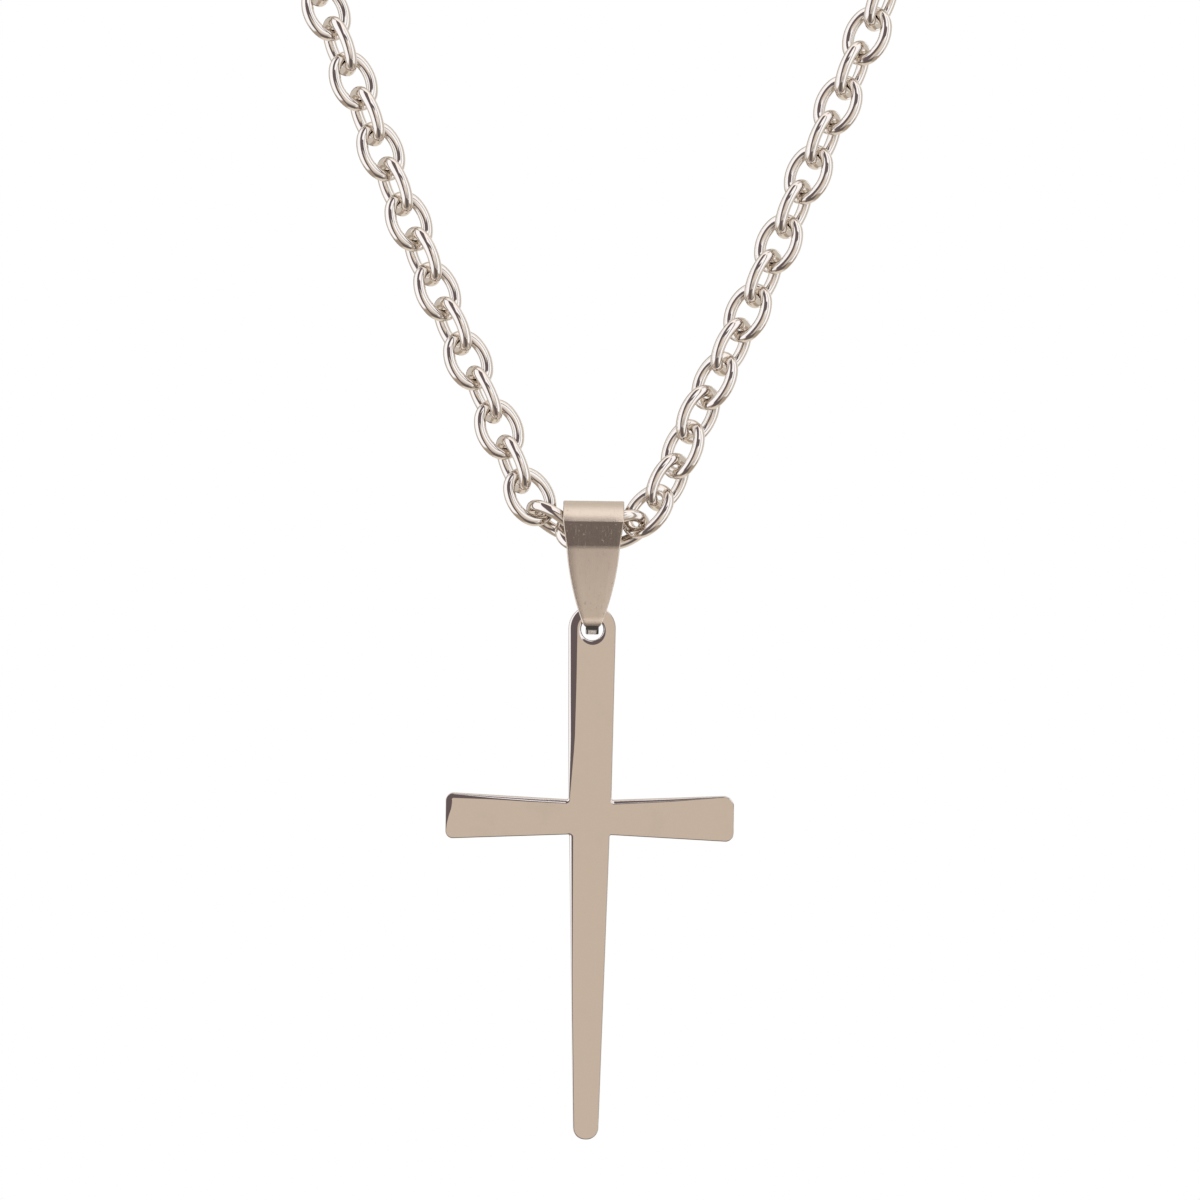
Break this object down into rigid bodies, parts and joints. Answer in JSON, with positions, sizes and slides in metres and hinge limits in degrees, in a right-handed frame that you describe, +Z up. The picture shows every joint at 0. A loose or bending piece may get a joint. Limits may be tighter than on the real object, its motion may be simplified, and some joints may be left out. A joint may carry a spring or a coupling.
{
  "type": "cross pendant on a chain",
  "caption": "Flat polished cross hung by its countersunk hole from a folded tapered bail on a closed neck loop of heavy oval-link cable chain with a plain barrel clasp.",
  "frame": {"origin": "nape of the neck, where the chain's loop is carried, level with the chain's top point", "axes": "+X to the right as seen from the front, the front faces -Y, +Z up; the cross hangs below the loop's lowest point"},
  "size_m": [0.1288, 0.1201, 0.266],
  "materials": {
    "cross_steel": "flat mirror polish with fine handling marks and softened rims",
    "bail_steel": "satin, brushed along its length, with sharp creases",
    "chain_steel": "bright polished wire",
    "clasp_steel": "bright polished"
  },
  "bodies": {
    "chain": {"chain_left": "chain_steel", "chain_right": "chain_steel", "clasp": "clasp_steel"},
    "bail": {"bail": "bail_steel"},
    "cross": {"cross": "cross_steel"}
  },
  "joints": [
    {"name": "bail_swing", "type": "hinge", "parent": "chain", "child": "bail", "pos_m": [0, -0.115, -0.20942], "axis": [1, 0, 0], "range_deg": [-15, 15]},
    {"name": "cross_swing", "type": "hinge", "parent": "bail", "child": "cross", "pos_m": [0, -0.115, -0.21654], "axis": [0, 1, 0], "range_deg": [-100, 100]}
  ]
}
